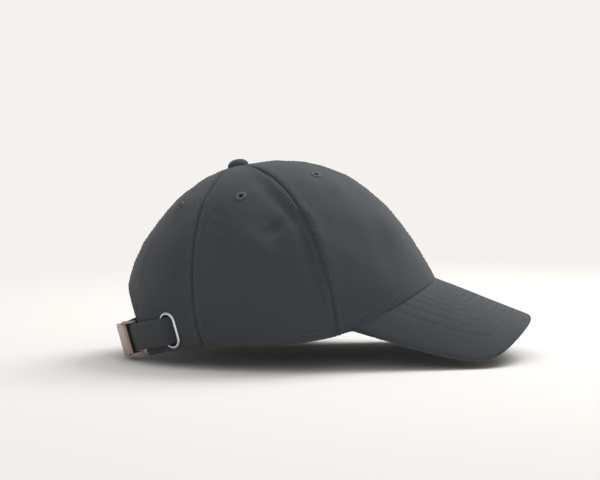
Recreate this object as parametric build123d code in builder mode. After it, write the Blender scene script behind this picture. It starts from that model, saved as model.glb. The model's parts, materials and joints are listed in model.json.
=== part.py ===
"""A six-panel baseball cap at rest on a table, as an assembly of separate pieces, in millimetres.

+X points forward along the visor, +Y to the wearer's left and +Z up. The origin lies on the table,
under the middle of the cap. The crown is laid out in the frame of its rim, which leans back at rest.
"""
from build123d import *
from math import atan2, cos, degrees, radians, sin, sqrt
import os

import numpy as np

# ---- driving dimensions -------------------------------------------------------------------
REST_TILT = 10.5                  # lean of the rim plane while the cap stands on a table, degrees
RIM_CENTRE = (-26.7, 0.0, 20.9)   # a point on the rim plane, level with the widest part of the crown
HEAD_LENGTH = 213.0               # outside length of the rim
HEAD_WIDTH = 168.0                # outside width of the rim
RIM_FORWARD = 2.0                 # centre of the rim ellipse, ahead of RIM_CENTRE
BUTTON_BACK = 12.3                # crown axis, behind RIM_CENTRE
CROWN_HEIGHT = 114.0              # rim plane to the apex, outside
CLOTH = 1.0                       # one panel of twill
GAP = 0.2                         # clearance between stacked layers
STIFFENER = 0.7                   # buckram behind the two front panels
TAPE = 0.6                        # seam tape
TAPE_WIDTH = 12.0
APEX_RADIUS = 1.6                 # hole at the apex, where the panels meet round the button's post

# Crown profile at the seams, 0, 60, 120 and 180 degrees from the front: see profile().
SEAM_ANGLES = (0, 60, 120, 180)
RIM_LIFT = (8.0, -4.5, 3.0, -2.2)           # rim above the rim plane, before the visor trims the front
SHOULDER_REACH = (70.0, 60.0, 47.0, 42.0)   # first handle, out from the axis
SHOULDER_HEIGHT = (110.0, 113.0, 113.0, 111.0)
WALL_REACH = (-26.0, 9.0, 14.0, 17.0)       # second handle, out from the rim
WALL_HEIGHT = (87.0, 64.0, 62.0, 62.0)

# Visor: an elliptical arch along a ridge that falls forward.
RIDGE_START = (77.7, 52.6)        # x and z of the ridge where it leaves the crown
RIDGE_SLOPE = 21.5                # degrees below level
VISOR_LENGTH = 70.0
VISOR_HALF_WIDTH = 77.7
ARCH_HALF_WIDTH = 88.0
ARCH_DROP = 87.6
VISOR_TUCK_FRONT = 1.2            # how far the visor reaches in under the crown's wall
VISOR_TUCK_SIDE = 0.3
BOARD = 1.6
BOARD_INSET = 1.2
VISOR_CLOTH = 0.7
VISOR_CUT = 45.0                  # depth of the cut that trims the crown to the visor
VISOR_BACK = 57.0                 # how far the visor's corners reach back along the ridge line

# Sweatband and rear opening
BAND_THICKNESS = 1.2
BAND_DEPTH = 4.7                  # crown outside to the band's outer face
BAND_HEIGHT = 32.0
FOOT_HEIGHT = 3.0                 # folded foot that is sewn to the rim
ARCH_OPENING = 76.0               # width of the rear opening
ARCH_TOP = 47.0                   # its top above the rim plane
ARCH_SPRING = 12.0                # where its sides start to curve
BINDING_WIDTH = 7.0

# Strap, buckle and grommet
STRAP_THICKNESS = 1.3
STRAP_WIDTH = 18.5
STRAP_LIFT = 14.0                 # middle of the strap above the rim
SLOT_HEIGHT = 20.5
SLOT_WIDTH = 9.0
RING_BAND = 2.2
RING_THICKNESS = 0.8
RING_WALL = 0.6                   # barrel of the grommet
GROMMET_TURN = 224.9              # azimuths of the strap and what it carries run on past 180, to the right
STRAP_RISE = 2.9                  # strap's middle outside the crown's face, over the grommet
TAIL_DEPTH = 3.3                  # strap's middle inside the crown's face, where it is tucked in
PLATE = 0.8
BUCKLE_TURN = 193.4
BUCKLE_LENGTH = 21.0
PIN_RADIUS = 0.8
RUNNING = 0.05                    # radial clearance of the buckle's pin
EASE = 0.1                        # azimuth step for the slope of a track, degrees

# Button and eyelets
BUTTON_RADIUS = 7.2
BUTTON_HEIGHT = 5.0
EYELET_RADIUS = 3.6
EYELET_HOLE = 1.5
EYELET_POINT = 0.36               # place of the eyelets down the profile, 0 at the apex and 1 at the rim

# ---- frames -------------------------------------------------------------------------------
tilt = radians(REST_TILT)
rim_forward = Vector(cos(tilt), 0, sin(tilt))
rim_up = Vector(-sin(tilt), 0, cos(tilt))
rim_origin = Vector(*RIM_CENTRE)
rim_plane = Plane(origin=rim_origin, x_dir=rim_forward, z_dir=rim_up)
axis_foot = rim_origin - rim_forward * BUTTON_BACK
half_length = HEAD_LENGTH / 2
half_width = HEAD_WIDTH / 2
axis_to_centre = BUTTON_BACK + RIM_FORWARD

ridge_tilt = radians(RIDGE_SLOPE)
ridge_along = Vector(cos(ridge_tilt), 0, -sin(ridge_tilt))
ridge_down = Vector(-sin(ridge_tilt), 0, -cos(ridge_tilt))
ridge_origin = Vector(RIDGE_START[0], 0, RIDGE_START[1])

rear_view = Plane(origin=rim_origin, x_dir=(0, -1, 0), z_dir=-rim_forward)


def section_plane(azimuth):
    """The half-plane through the crown's axis at an azimuth: local x is out from the axis, local y is up."""
    out = rim_forward * cos(radians(azimuth)) + Vector(0, 1, 0) * sin(radians(azimuth))
    return Plane(origin=axis_foot, x_dir=out, z_dir=out.cross(rim_up))


def blend(seam_values, azimuth):
    """A smooth value between the four seams, by the cosine series that passes through all of them."""
    orders = range(len(SEAM_ANGLES))
    rows = [[cos(k * radians(a)) for k in orders] for a in SEAM_ANGLES]
    weights = np.linalg.solve(rows, seam_values)
    return float(sum(w * cos(k * radians(azimuth)) for k, w in zip(orders, weights)))


def rim_radius(azimuth):
    """Distance from the crown's axis to the rim ellipse."""
    c, s = cos(radians(azimuth)) / half_length, sin(radians(azimuth)) / half_width
    offset = axis_to_centre / half_length
    a, b = c * c + s * s, -c * offset
    return (-b + sqrt(b * b - a * (offset * offset - 1))) / a


def profile(azimuth, depth=0.0):
    """Four Bezier points of the crown's section, apex first, at a depth inside its outer face."""
    rim = rim_radius(azimuth)
    points = [
        Vector(APEX_RADIUS, CROWN_HEIGHT),
        Vector(blend(SHOULDER_REACH, azimuth), blend(SHOULDER_HEIGHT, azimuth)),
        Vector(rim + blend(WALL_REACH, azimuth), blend(WALL_HEIGHT, azimuth)),
        Vector(rim, blend(RIM_LIFT, azimuth)),
    ]
    legs = [(b - a).normalized() for a, b in zip(points, points[1:])]
    inward = [Vector(leg.Y, -leg.X) for leg in legs]
    moved = [points[0] + Vector(0, -depth)]
    for point, before, after in zip(points[1:3], inward, inward[1:]):
        moved.append(point + (before + after) * (depth / (1 + before.dot(after))))
    moved.append(points[3] + inward[2] * depth)
    return moved


def bezier_at(points, t):
    """The point at t on a cubic Bezier."""
    s = 1 - t
    weights = (s**3, 3 * s * s * t, 3 * s * t * t, t**3)
    return sum((p * w for p, w in zip(points, weights)), Vector())


def upper_part(points, t):
    """The control points of the same curve from its start to t."""
    a, b, c = (p + (q - p) * t for p, q in zip(points, points[1:]))
    d, e = a + (b - a) * t, b + (c - b) * t
    return [points[0], a, d, d + (e - d) * t]


def lower_part(points, t):
    """The control points of the same curve from t to its end."""
    return upper_part(points[::-1], 1 - t)[::-1]


def place_at_height(points, height):
    """The t at which the curve passes down through a height."""
    low, high = 0.0, 1.0
    for _ in range(40):
        middle = (low + high) / 2
        if bezier_at(points, middle).Y > height:
            low = middle
        else:
            high = middle
    return low


def layer_section(azimuth, outer_depth, thickness, bottom=0.0):
    """A thin closed section of one crown layer, from the apex to bottom above the rim."""
    outer, inner = profile(azimuth, outer_depth), profile(azimuth, outer_depth + thickness)
    if bottom:
        level = blend(RIM_LIFT, azimuth) + bottom
        outer = upper_part(outer, place_at_height(outer, level))
        inner = upper_part(inner, place_at_height(inner, level))
    with BuildSketch(section_plane(azimuth)) as section:
        with BuildLine():
            Bezier(*outer)
            Line(outer[-1], inner[-1])
            Bezier(*inner[::-1])
            Line(inner[0], outer[0])
        make_face()
    return section.sketch


def crown_layer(start, end, outer_depth, thickness, bottom=0.0, step=15):
    """Lofts one crown layer between two azimuths, inside the caller's part."""
    count = max(2, round(abs(end - start) / step))
    turns = [start + (end - start) * i / count for i in range(count + 1)]
    loft([layer_section(turn, outer_depth, thickness, bottom) for turn in turns])


def surface_frame(azimuth, t, depth=0.0):
    """A plane on the crown's outer face, with its normal outwards and its y up the profile."""
    def point(angle, place):
        local = bezier_at(profile(angle, depth), place)
        return section_plane(angle).from_local_coords(local)
    small = 0.01
    across = point(azimuth + 1, t) - point(azimuth - 1, t)
    upward = point(azimuth, t - small) - point(azimuth, t + small)
    return Plane(origin=point(azimuth, t), x_dir=across, z_dir=across.cross(upward))


def keep(builder, name):
    """Labels a finished piece and writes it."""
    builder.part.label = name
    export_step(builder.part, f"parts/{name}.step")


def arch_shape(grow):
    """The rear opening's outline, grown by a margin, seen from behind."""
    with BuildSketch(rear_view) as outline:
        with Locations((0, ARCH_SPRING)):
            Ellipse(ARCH_OPENING / 2 + grow, ARCH_TOP - ARCH_SPRING + grow)
        with Locations((0, ARCH_SPRING / 2 - 20)):
            Rectangle(ARCH_OPENING + 2 * grow, ARCH_SPRING + 40)
    return outline.sketch


def visor_arch(outer_drop, thickness, reach=VISOR_BACK, mode=Mode.ADD):
    """An arched sheet along the ridge, outer_drop below the visor's top, in the caller's part."""
    across = Plane(origin=ridge_origin - ridge_along * reach, x_dir=(0, 1, 0), z_dir=ridge_along)
    inset = outer_drop + thickness
    with BuildSketch(across) as section:
        with Locations((0, -ARCH_DROP)):
            Ellipse(ARCH_HALF_WIDTH - outer_drop, ARCH_DROP - outer_drop)
            Ellipse(ARCH_HALF_WIDTH - inset, ARCH_DROP - inset, mode=Mode.SUBTRACT)
        with Locations((0, -1.5 * ARCH_DROP)):
            Rectangle(3 * ARCH_HALF_WIDTH, ARCH_DROP, mode=Mode.SUBTRACT)
    extrude(section.sketch, amount=reach + VISOR_LENGTH + 20, mode=mode)


def visor_outline(inset=0.0):
    """Trims the caller's part to the visor's cut shape, seen square to the ridge."""
    length, width = VISOR_LENGTH - inset, VISOR_HALF_WIDTH - inset
    seen = Plane(origin=ridge_origin - ridge_down * 20, x_dir=ridge_along, z_dir=ridge_down)
    with BuildSketch(seen) as cut:
        with BuildLine():
            Spline(
                (-VISOR_BACK, -width),
                (-0.21 * length, -0.983 * width),
                (0.36 * length, -0.943 * width),
                (0.66 * length, -0.865 * width),
                (0.88 * length, -0.56 * width),
                (length, 0),
                (0.88 * length, 0.56 * width),
                (0.66 * length, 0.865 * width),
                (0.36 * length, 0.943 * width),
                (-0.21 * length, 0.983 * width),
                (-VISOR_BACK, width),
            )
            Line((-VISOR_BACK, width), (-VISOR_BACK, -width))
        make_face()
    extrude(cut.sketch, amount=160, mode=Mode.INTERSECT)


def remove_head_space():
    """Cuts away what lies inside the crown's rim, leaving the edge that is sewn under the wall."""
    with BuildSketch(rim_plane.offset(-60)) as head:
        with Locations((RIM_FORWARD, 0)):
            Ellipse(half_length - VISOR_TUCK_FRONT, half_width - VISOR_TUCK_SIDE)
    extrude(head.sketch, amount=160, mode=Mode.SUBTRACT)


def wall_point(azimuth, height, depth):
    """A point at a height above the rim and a depth inside the crown's face, in the section's plane."""
    curve = profile(azimuth, depth)
    return bezier_at(curve, place_at_height(curve, blend(RIM_LIFT, azimuth) + height))


def track_depth(knots, azimuth):
    """The depth at an azimuth on a track of (azimuth, depth) knots, eased between them."""
    for (start, depth), (end, next_depth) in zip(knots, knots[1:]):
        if azimuth <= end:
            along = max(0.0, (azimuth - start) / (end - start))
            return depth + (next_depth - depth) * along * along * (3 - 2 * along)
    return knots[-1][1]


def ribbon(knots, thickness, half_height, step=2.0):
    """Lofts a flat band along a track, level with the strap, inside the caller's part."""
    start, end = knots[0][0], knots[-1][0]
    count = max(2, round((end - start) / step))
    sections = []
    for i in range(count + 1):
        turn = start + (end - start) * i / count
        depth = track_depth(knots, turn)
        arc = rim_radius(turn) * radians(2 * EASE)
        slope = (track_depth(knots, turn + EASE) - track_depth(knots, turn - EASE)) / arc
        half = thickness / 2 * sqrt(1 + slope * slope)
        corners = [
            wall_point(turn, STRAP_LIFT + half_height * up, depth + half * inward)
            for up, inward in ((1, -1), (-1, -1), (-1, 1), (1, 1))
        ]
        with BuildSketch(section_plane(turn)) as section:
            with BuildLine():
                Polyline(*corners, close=True)
            make_face()
        sections.append(section.sketch)
    loft(sections)


os.makedirs("parts", exist_ok=True)

# ---- grommet place: on the right rear panel, facing out -----------------------------------
grommet_height = blend(RIM_LIFT, GROMMET_TURN) + STRAP_LIFT
grommet_plane = surface_frame(GROMMET_TURN, place_at_height(profile(GROMMET_TURN), grommet_height))

# ---- crown panels, with their eyelets -----------------------------------------------------
PANELS = {
    "front_panel_right": (0, -60),
    "side_panel_right": (-60, -120),
    "rear_panel_right": (-120, -180),
    "front_panel_left": (0, 60),
    "side_panel_left": (60, 120),
    "rear_panel_left": (120, 180),
}
for panel_name, (start, end) in PANELS.items():
    eyelet_plane = surface_frame((start + end) / 2, EYELET_POINT)
    with BuildPart() as panel:
        crown_layer(start, end, 0, CLOTH)
        with BuildSketch(eyelet_plane.offset(-6)):
            Circle(EYELET_RADIUS + GAP)
        extrude(amount=12, mode=Mode.SUBTRACT)
        if "rear" in panel_name:
            extrude(arch_shape(0), amount=160, mode=Mode.SUBTRACT)
        else:
            visor_arch(-GAP, VISOR_CUT, mode=Mode.SUBTRACT)
        if panel_name == "rear_panel_right":
            with BuildSketch(grommet_plane.offset(-4)):
                SlotOverall(SLOT_HEIGHT + 2 * RING_WALL, SLOT_WIDTH + 2 * RING_WALL, 90)
            extrude(amount=8, mode=Mode.SUBTRACT)
    keep(panel, panel_name)

# ---- embroidered eyelets, one in each panel -----------------------------------------------
for panel_name, (start, end) in PANELS.items():
    with BuildPart() as eyelet:
        with BuildSketch(surface_frame((start + end) / 2, EYELET_POINT).offset(-CLOTH - 0.2)):
            Circle(EYELET_RADIUS)
            Circle(EYELET_HOLE, mode=Mode.SUBTRACT)
        extrude(amount=CLOTH + 0.8)
    keep(eyelet, panel_name.replace("panel", "eyelet"))

# ---- buckram behind the two front panels --------------------------------------------------
STIFFENER_MARGIN = TAPE_WIDTH / 2 + GAP
for name, side in (("right", -1), ("left", 1)):
    with BuildPart() as stiffener:
        crown_layer(0, 60 * side, CLOTH + GAP, STIFFENER, bottom=FOOT_HEIGHT + 12)
        for seam in (0, 60):
            with BuildSketch(section_plane(seam * side).offset(-STIFFENER_MARGIN)):
                Rectangle(600, 600)
            extrude(amount=2 * STIFFENER_MARGIN, mode=Mode.SUBTRACT)
        with BuildSketch(surface_frame(30 * side, EYELET_POINT).offset(-8)):
            Circle(EYELET_RADIUS + GAP)
        extrude(amount=12, mode=Mode.SUBTRACT)
    keep(stiffener, f"front_stiffener_{name}")

# ---- seam tapes, one behind each seam -----------------------------------------------------
TAPES = {
    "seam_tape_front": 0,
    "seam_tape_front_right": -60,
    "seam_tape_rear_right": -120,
    "seam_tape_front_left": 60,
    "seam_tape_rear_left": 120,
    "seam_tape_rear": 180,
}
TAPE_START = 12.0                 # clear of the apex, where six tapes would pile up
for name, seam in TAPES.items():
    with BuildPart() as tape:
        crown_layer(seam - 28, seam + 28, CLOTH + GAP, TAPE, bottom=FOOT_HEIGHT + 6, step=14)
        with BuildSketch(section_plane(seam).offset(-TAPE_WIDTH / 2)):
            with Locations((TAPE_START, 0)):
                Rectangle(200, 400, align=(Align.MIN, Align.CENTER))
        extrude(amount=TAPE_WIDTH, mode=Mode.INTERSECT)
        if name == "seam_tape_rear":
            extrude(arch_shape(BINDING_WIDTH + GAP), amount=160, mode=Mode.SUBTRACT)
        if name == "seam_tape_front":
            visor_arch(-6, VISOR_CUT, mode=Mode.SUBTRACT)
    keep(tape, name)

# ---- binding round the rear opening, inside -----------------------------------------------
with BuildPart() as binding:
    crown_layer(130, 230, CLOTH + GAP, TAPE, bottom=FOOT_HEIGHT + GAP)
    extrude(arch_shape(BINDING_WIDTH), amount=160, mode=Mode.INTERSECT)
    extrude(arch_shape(0), amount=160, mode=Mode.SUBTRACT)
keep(binding, "opening_binding")


# ---- sweatband, open at the rear ----------------------------------------------------------
def band_section(azimuth):
    """The sweatband's section: a strip inside the crown, with a foot folded out to the rim."""
    rim = blend(RIM_LIFT, azimuth)
    foot = profile(azimuth, CLOTH + GAP)
    foot = lower_part(foot, place_at_height(foot, rim + FOOT_HEIGHT))
    inner = profile(azimuth, BAND_DEPTH + BAND_THICKNESS)
    inner = lower_part(inner, place_at_height(inner, rim + BAND_HEIGHT))
    outer = profile(azimuth, BAND_DEPTH)
    outer = upper_part(outer, place_at_height(outer, rim + FOOT_HEIGHT))
    outer = lower_part(outer, place_at_height(outer, rim + BAND_HEIGHT))
    with BuildSketch(section_plane(azimuth)) as section:
        with BuildLine():
            Bezier(*outer)
            Line(outer[-1], foot[0])
            Bezier(*foot)
            Line(foot[-1], inner[-1])
            Bezier(*inner[::-1])
            Line(inner[0], outer[0])
        make_face()
    return section.sketch


BAND_END = 152                    # azimuth at which the band stops, each side of the rear opening
BAND_SECTIONS = 20
WASHER_CLEAR = 2.5                # room for the grommet's inner side, cut in the band's foot
with BuildPart() as sweatband:
    turns = [BAND_END * (2 * i / BAND_SECTIONS - 1) for i in range(BAND_SECTIONS + 1)]
    loft([band_section(turn) for turn in turns])
    with BuildSketch(grommet_plane) as relief:
        SlotOverall(SLOT_HEIGHT + 2 * RING_BAND + 1, SLOT_WIDTH + 2 * RING_BAND + 1, 90)
    extrude(relief.sketch, amount=-WASHER_CLEAR, mode=Mode.SUBTRACT)
keep(sweatband, "sweatband")

# ---- visor: a board between two covers ----------------------------------------------------
VISOR_LAYERS = {
    "visor_top_cover": (0, VISOR_CLOTH, 0),
    "visor_board": (VISOR_CLOTH + GAP, BOARD, BOARD_INSET),
    "visor_under_cover": (VISOR_CLOTH + BOARD + 2 * GAP, VISOR_CLOTH, 0),
}
for name, (drop, thickness, inset) in VISOR_LAYERS.items():
    with BuildPart() as visor_sheet:
        visor_arch(drop, thickness)
        visor_outline(inset)
        remove_head_space()
    keep(visor_sheet, name)

# ---- button: cloth cover over a metal shell, its post through the apex and a cap inside ----
apex_plane = Plane(origin=axis_foot + rim_up * CROWN_HEIGHT, x_dir=rim_forward, z_dir=rim_up)
BUTTON_SEAT = 0.5                 # the rim of the button above the apex
POST_RADIUS = 1.2
button_section = Plane(origin=apex_plane.origin, x_dir=rim_forward, z_dir=Vector(0, -1, 0))
with BuildPart() as button_cover:
    with BuildSketch(button_section):
        with BuildLine():
            Line((0, BUTTON_SEAT + BUTTON_HEIGHT), (0, BUTTON_SEAT + BUTTON_HEIGHT - 0.8))
            Spline(
                (0, BUTTON_SEAT + BUTTON_HEIGHT - 0.8),
                (BUTTON_RADIUS - 0.8, BUTTON_SEAT + 1),
                tangents=((1, 0), (0, -1)),
            )
            Line((BUTTON_RADIUS - 0.8, BUTTON_SEAT + 1), (BUTTON_RADIUS - 0.8, BUTTON_SEAT))
            Line((BUTTON_RADIUS - 0.8, BUTTON_SEAT), (BUTTON_RADIUS, BUTTON_SEAT))
            Line((BUTTON_RADIUS, BUTTON_SEAT), (BUTTON_RADIUS, BUTTON_SEAT + 1))
            Spline(
                (BUTTON_RADIUS, BUTTON_SEAT + 1),
                (0, BUTTON_SEAT + BUTTON_HEIGHT),
                tangents=((0, 1), (-1, 0)),
            )
        make_face()
    revolve(axis=Axis(apex_plane.origin, rim_up))
keep(button_cover, "button_cover")

with BuildPart() as button_shell:
    with BuildSketch(apex_plane.offset(BUTTON_SEAT + 0.2)):
        Circle(BUTTON_RADIUS - 1.1)
    extrude(amount=1.2)
    with BuildSketch(apex_plane.offset(BUTTON_SEAT + 0.2)):
        Circle(POST_RADIUS)
    extrude(amount=-(BUTTON_SEAT + CLOTH + 3))
keep(button_shell, "button_shell")

with BuildPart() as button_back:
    with BuildSketch(apex_plane.offset(-CLOTH - 1.3)):
        Circle(BUTTON_RADIUS - 1)
        Circle(POST_RADIUS + RUNNING, mode=Mode.SUBTRACT)
    extrude(amount=-0.8)
keep(button_back, "button_back")

# ---- grommet: an oval ring outside with a barrel, and a washer inside ---------------------
RING_SEAT = 0.3                   # flange above the cloth, which curves away under it
WASHER_SEAT = 1.0                 # washer below the cloth, which curves into its plane
WASHER = 0.4
with BuildPart() as grommet_ring:
    with BuildSketch(grommet_plane.offset(RING_SEAT)):
        SlotOverall(SLOT_HEIGHT + 2 * RING_BAND, SLOT_WIDTH + 2 * RING_BAND, 90)
        SlotOverall(SLOT_HEIGHT, SLOT_WIDTH, 90, mode=Mode.SUBTRACT)
    extrude(amount=RING_THICKNESS)
    with BuildSketch(grommet_plane.offset(RING_SEAT)):
        SlotOverall(SLOT_HEIGHT + 2 * RING_WALL - 0.2, SLOT_WIDTH + 2 * RING_WALL - 0.2, 90)
        SlotOverall(SLOT_HEIGHT, SLOT_WIDTH, 90, mode=Mode.SUBTRACT)
    extrude(amount=-(RING_SEAT + CLOTH + WASHER_SEAT + WASHER))
keep(grommet_ring, "grommet_ring")

with BuildPart() as grommet_washer:
    with BuildSketch(grommet_plane.offset(-CLOTH - WASHER_SEAT)):
        SlotOverall(SLOT_HEIGHT + 2 * RING_BAND, SLOT_WIDTH + 2 * RING_BAND, 90)
        SlotOverall(SLOT_HEIGHT + 2 * RING_WALL, SLOT_WIDTH + 2 * RING_WALL, 90, mode=Mode.SUBTRACT)
    extrude(amount=-WASHER)
keep(grommet_washer, "grommet_washer")

# ---- strap: sewn inside the left rear panel, over the opening and in through the grommet ---
SLOT_TURN = 2.7                   # half the slot's width, as azimuth
STRAP_TRACK = (
    (141.0, TAIL_DEPTH),
    (155.5, TAIL_DEPTH),
    (183.0, -STRAP_RISE),
    (GROMMET_TURN - SLOT_TURN, -STRAP_RISE),
    (GROMMET_TURN + SLOT_TURN, TAIL_DEPTH),
    (242.0, TAIL_DEPTH),
)
with BuildPart() as strap:
    ribbon(STRAP_TRACK, STRAP_THICKNESS, STRAP_WIDTH / 2, step=1.0)
keep(strap, "strap")

# ---- buckle: a clamp on the strap, in a frame square to it ---------------------------------
# local x runs along the strap towards the grommet, local y up and local z outwards
def strap_edge(turn, side):
    """A world point on the strap's upper (1) or lower (-1) edge, where it lies outside the crown."""
    local = wall_point(turn, STRAP_LIFT + side * STRAP_WIDTH / 2, -STRAP_RISE)
    return section_plane(turn).from_local_coords(local)


def strap_middle(turn):
    """A world point on the strap's middle line."""
    return (strap_edge(turn, 1) + strap_edge(turn, -1)) / 2


strap_along = strap_middle(BUCKLE_TURN + 1) - strap_middle(BUCKLE_TURN - 1)
strap_upward = strap_edge(BUCKLE_TURN, 1) - strap_edge(BUCKLE_TURN, -1)
buckle_plane = Plane(
    origin=strap_middle(BUCKLE_TURN),
    x_dir=strap_along,
    z_dir=strap_along.cross(strap_upward),
)
SIDE_INNER = 10.3                 # inside of the frame's side walls
SIDE_OUTER = 11.3
BASE_LOW = -2.7                   # base plate, from the strap's middle
BUCKLE_END = BUCKLE_LENGTH / 2
WALL_TOP = 3.2
PIN_X, PIN_Z = 8.5, 2.7
BAR_X, BAR_Z = 12.4, -3.5
BAR_RADIUS = 0.7


def across_plane(x, z, start):
    """A plane square to the buckle's width, with its normal along local y, starting at local y."""
    origin = buckle_plane.from_local_coords((x, start, z))
    return Plane(origin=origin, x_dir=buckle_plane.x_dir, z_dir=buckle_plane.y_dir)


with BuildPart() as buckle_frame:
    with BuildSketch(buckle_plane.offset(BASE_LOW)):
        Rectangle(BUCKLE_LENGTH, 2 * SIDE_OUTER)
    extrude(amount=PLATE)
    for start in (-SIDE_OUTER, SIDE_INNER):
        with BuildSketch(across_plane(0, 0, start)):
            with BuildLine():                 # local y of this plane points inwards
                Polyline(
                    (-BUCKLE_END, -BASE_LOW),
                    (BUCKLE_END, -BASE_LOW),
                    (BAR_X - 1.3, -BAR_Z + 0.9),
                    (BAR_X + 1.2, -BAR_Z + 0.9),
                    (BAR_X + 1.2, -BAR_Z - 0.9),
                    (BUCKLE_END, -WALL_TOP + 1),
                    (BUCKLE_END - 1, -WALL_TOP),
                    (2.5, -WALL_TOP),
                    (-3, -0.4),
                    (-BUCKLE_END, -0.4),
                    close=True,
                )
            make_face()
            with Locations((PIN_X, -PIN_Z)):
                Circle(PIN_RADIUS + RUNNING, mode=Mode.SUBTRACT)
        extrude(amount=SIDE_OUTER - SIDE_INNER)
    with BuildSketch(across_plane(BAR_X, BAR_Z, -SIDE_OUTER)):
        Circle(BAR_RADIUS)
    extrude(amount=2 * SIDE_OUTER)
keep(buckle_frame, "buckle_frame")

PIN_HEAD = 0.3                    # how far the pin stands out of the side walls
with BuildPart() as buckle_pin:
    with BuildSketch(across_plane(PIN_X, PIN_Z, -SIDE_OUTER - PIN_HEAD)):
        Circle(PIN_RADIUS)
    extrude(amount=2 * (SIDE_OUTER + PIN_HEAD))
keep(buckle_pin, "buckle_pin")

BARREL_RADIUS = 1.8
BARREL_HALF = 10.0                # half the width of the barrel, between the side walls
LEVER_LOW, LEVER_HIGH = 3.5, 4.5
LEVER_NECK = 3.5                  # the lever widens over the side walls behind this
LEVER_CHAMFER = 2.5
with BuildPart() as buckle_lever:
    with BuildSketch(across_plane(PIN_X, PIN_Z, -BARREL_HALF)):
        Circle(BARREL_RADIUS)
    extrude(amount=2 * BARREL_HALF)
    with BuildSketch(buckle_plane.offset(LEVER_LOW)) as blade:
        with Locations(((PIN_X - BUCKLE_END) / 2, 0)):
            Rectangle(PIN_X + BUCKLE_END, 2 * BARREL_HALF)
        with Locations(((PIN_X - LEVER_NECK - BUCKLE_END) / 2, 0)):
            Rectangle(PIN_X - LEVER_NECK + BUCKLE_END, 2 * SIDE_OUTER)
        chamfer(blade.vertices().group_by(Axis(buckle_plane.origin, buckle_plane.x_dir))[0], LEVER_CHAMFER)
    extrude(amount=LEVER_HIGH - LEVER_LOW)
    with BuildSketch(across_plane(PIN_X, PIN_Z, -SIDE_OUTER)):
        Circle(PIN_RADIUS + RUNNING)
    extrude(amount=2 * SIDE_OUTER, mode=Mode.SUBTRACT)
keep(buckle_lever, "buckle_lever")

# ---- tab: loops round the buckle's bar and is sewn to the panel's edge under the strap -----
TAB_HALF = 8.0
TAB_INNER, TAB_OUTER = 0.8, 1.5   # radii of the loop
TAB_DEPTH = -0.95
TAB_CLOTH = 0.9
TAB_END = 212.0
bar_point = section_plane(180).to_local_coords(across_plane(BAR_X, BAR_Z, 0).origin)
bar_turn = 180 - degrees(atan2(bar_point.Z, bar_point.X))
with BuildPart() as buckle_tab:
    ribbon(((bar_turn + 0.65, TAB_DEPTH), (TAB_END, TAB_DEPTH)), TAB_CLOTH, TAB_HALF)
    with BuildSketch(across_plane(BAR_X, BAR_Z, -TAB_HALF)):
        Circle(TAB_OUTER)
    extrude(amount=2 * TAB_HALF)
    with BuildSketch(across_plane(BAR_X, BAR_Z, -TAB_HALF - 1)):
        Circle(TAB_INNER)
    extrude(amount=2 * TAB_HALF + 2, mode=Mode.SUBTRACT)
keep(buckle_tab, "buckle_tab")
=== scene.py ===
"""A six-panel baseball cap: sewn cloth panels, a stitched visor, a strap, a buckle and a grommet.

Lengths inside the classes are in millimetres, and become metres as a mesh is made.
"""

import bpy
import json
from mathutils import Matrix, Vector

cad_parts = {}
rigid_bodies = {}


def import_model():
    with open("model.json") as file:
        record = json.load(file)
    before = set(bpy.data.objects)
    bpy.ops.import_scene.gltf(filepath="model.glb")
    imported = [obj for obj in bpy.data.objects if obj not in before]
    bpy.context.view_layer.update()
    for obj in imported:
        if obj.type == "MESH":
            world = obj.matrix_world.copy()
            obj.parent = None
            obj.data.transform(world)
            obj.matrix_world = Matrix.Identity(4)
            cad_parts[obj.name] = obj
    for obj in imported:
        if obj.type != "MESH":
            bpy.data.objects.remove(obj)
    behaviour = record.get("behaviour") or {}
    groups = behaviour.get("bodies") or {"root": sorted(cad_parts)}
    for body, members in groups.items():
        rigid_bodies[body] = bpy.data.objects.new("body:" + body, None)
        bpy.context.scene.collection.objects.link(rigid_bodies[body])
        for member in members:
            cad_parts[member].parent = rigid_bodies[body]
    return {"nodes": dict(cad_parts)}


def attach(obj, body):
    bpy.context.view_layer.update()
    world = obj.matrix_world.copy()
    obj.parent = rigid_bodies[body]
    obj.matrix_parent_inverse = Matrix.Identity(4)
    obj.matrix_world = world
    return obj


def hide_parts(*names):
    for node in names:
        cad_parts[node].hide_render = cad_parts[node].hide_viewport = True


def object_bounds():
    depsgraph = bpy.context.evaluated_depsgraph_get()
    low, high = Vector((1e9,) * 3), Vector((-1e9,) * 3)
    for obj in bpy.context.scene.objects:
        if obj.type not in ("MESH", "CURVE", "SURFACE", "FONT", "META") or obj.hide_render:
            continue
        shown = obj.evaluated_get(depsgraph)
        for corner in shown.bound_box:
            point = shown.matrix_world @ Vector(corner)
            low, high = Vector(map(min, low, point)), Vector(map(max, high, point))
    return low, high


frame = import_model()
CAD_BOX = [list(corner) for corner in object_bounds()]

import json
import logging
import math
from dataclasses import dataclass, field
from enum import Enum
from typing import Callable

import bmesh
import bpy
import numpy as np
from mathutils import Matrix, Vector, noise

log = logging.getLogger("cap")
MM = 0.001
SEAMS = (0, 60, 120, 180, 240, 300)
Place = Callable[[int, int], Vector]


class Finish(Enum):
    """Names for the finishes of new pieces."""

    TWILL = "twill"
    THREAD = "thread"
    BUCKRAM = "buckram"
    TAPE = "tape"
    BAND = "band_cloth"
    STEEL = "button_steel"
    GROMMET = "grommet_metal"
    BUCKLE = "buckle_metal"


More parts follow.
